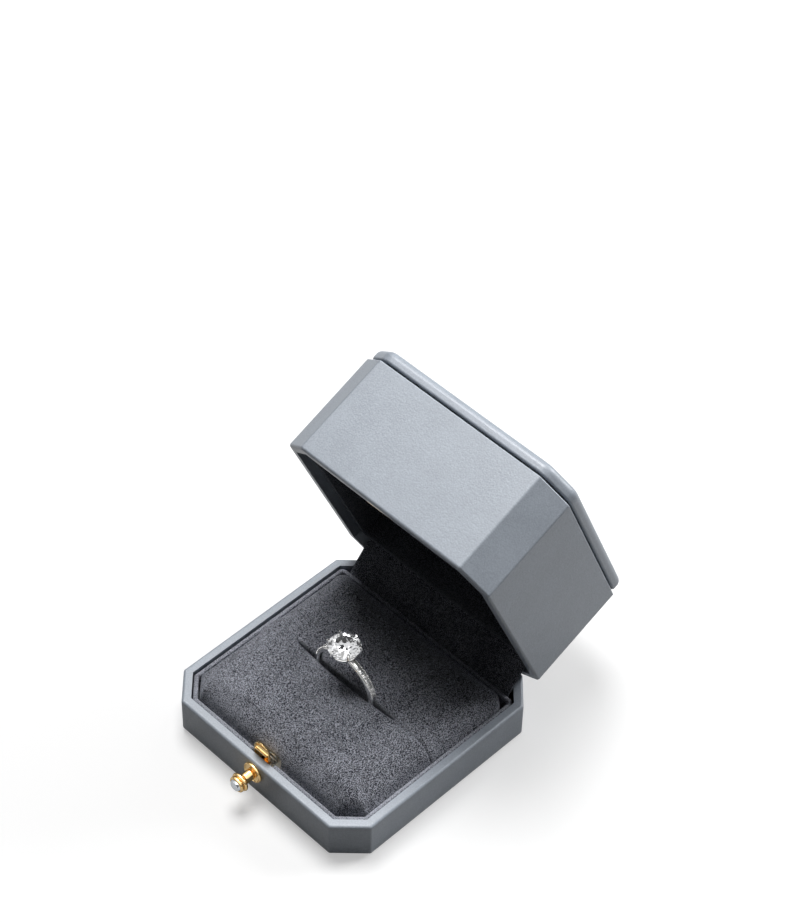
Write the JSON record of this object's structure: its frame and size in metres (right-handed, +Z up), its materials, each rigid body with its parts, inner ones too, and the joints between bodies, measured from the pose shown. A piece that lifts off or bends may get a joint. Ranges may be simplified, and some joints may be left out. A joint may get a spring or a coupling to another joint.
{
  "type": "ring box",
  "caption": "Hinged eight-sided ring box in grey leatherette with suede ring pads, a gold push-button latch and a solitaire ring in the slit.",
  "frame": {"origin": "middle of the case's footprint, on the surface that the box stands on", "axes": "+Z up, -Y towards the latch at the front, +X to the right seen from the front"},
  "size_m": [0.062, 0.0956, 0.0783],
  "materials": {
    "leatherette": "fine-grained grey leatherette, satin",
    "moulding": "black moulded plastic, unfinished",
    "board": "dark grey board covered with paper",
    "dark_board": "black paper-covered board",
    "suede": "short-nap charcoal suede cloth",
    "lid_lining": "short-nap near-black suede cloth",
    "gold": "polished and gold-plated",
    "hinge_steel": "nickel-plated, satin",
    "crystal": "clear, faceted and polished",
    "diamond": "clear, brilliant-cut",
    "white_metal": "polished white gold"
  },
  "bodies": {
    "base": {"bottom_board": "board", "base_shell": "moulding", "base_wrap": "leatherette", "base_collar": "suede", "pad_board": "board", "pad_front": "suede", "pad_rear": "suede", "hinge_base_leaf": "hinge_steel", "hinge_pin": "hinge_steel", "hinge_base_rivets": "hinge_steel", "hinge_bow_spring": "hinge_steel", "hinge_flap": "suede", "latch_flange": "gold", "latch_bracket": "hinge_steel", "latch_return_spring": "hinge_steel"},
    "lid": {"lid_shell": "moulding", "lid_wrap": "leatherette", "lid_strike_plate": "gold", "lid_spacer": "dark_board", "lid_cap_board": "board", "lid_cap_wrap": "leatherette", "lid_liner": "lid_lining", "lid_pad": "lid_lining", "hinge_lid_leaf": "hinge_steel", "hinge_lid_rivets": "hinge_steel"},
    "button": {"latch_stem": "gold", "latch_knob": "gold", "latch_crystal": "crystal", "latch_catch": "gold"},
    "ring": {"ring_shank": "white_metal", "ring_head": "white_metal", "ring_centre_stone": "diamond", "ring_small_stones": "diamond"}
  },
  "joints": [
    {"name": "lid_hinge", "type": "hinge", "parent": "base", "child": "lid", "pos_m": [0, 0.0304, 0.01055], "axis": [1, 0, 0], "range_deg": [0, 67], "deforming": ["hinge_flap", "hinge_bow_spring"]},
    {"name": "button_press", "type": "slide", "parent": "base", "child": "button", "axis": [0, 1, 0], "range_m": [0, 0.0013], "stiffness_N_per_m": 300, "springref_m": -0.001, "deforming": ["latch_return_spring"]},
    {"name": "ring_lift", "type": "slide", "parent": "base", "child": "ring", "axis": [0, 0, 1], "range_m": [0, 0.05]}
  ]
}
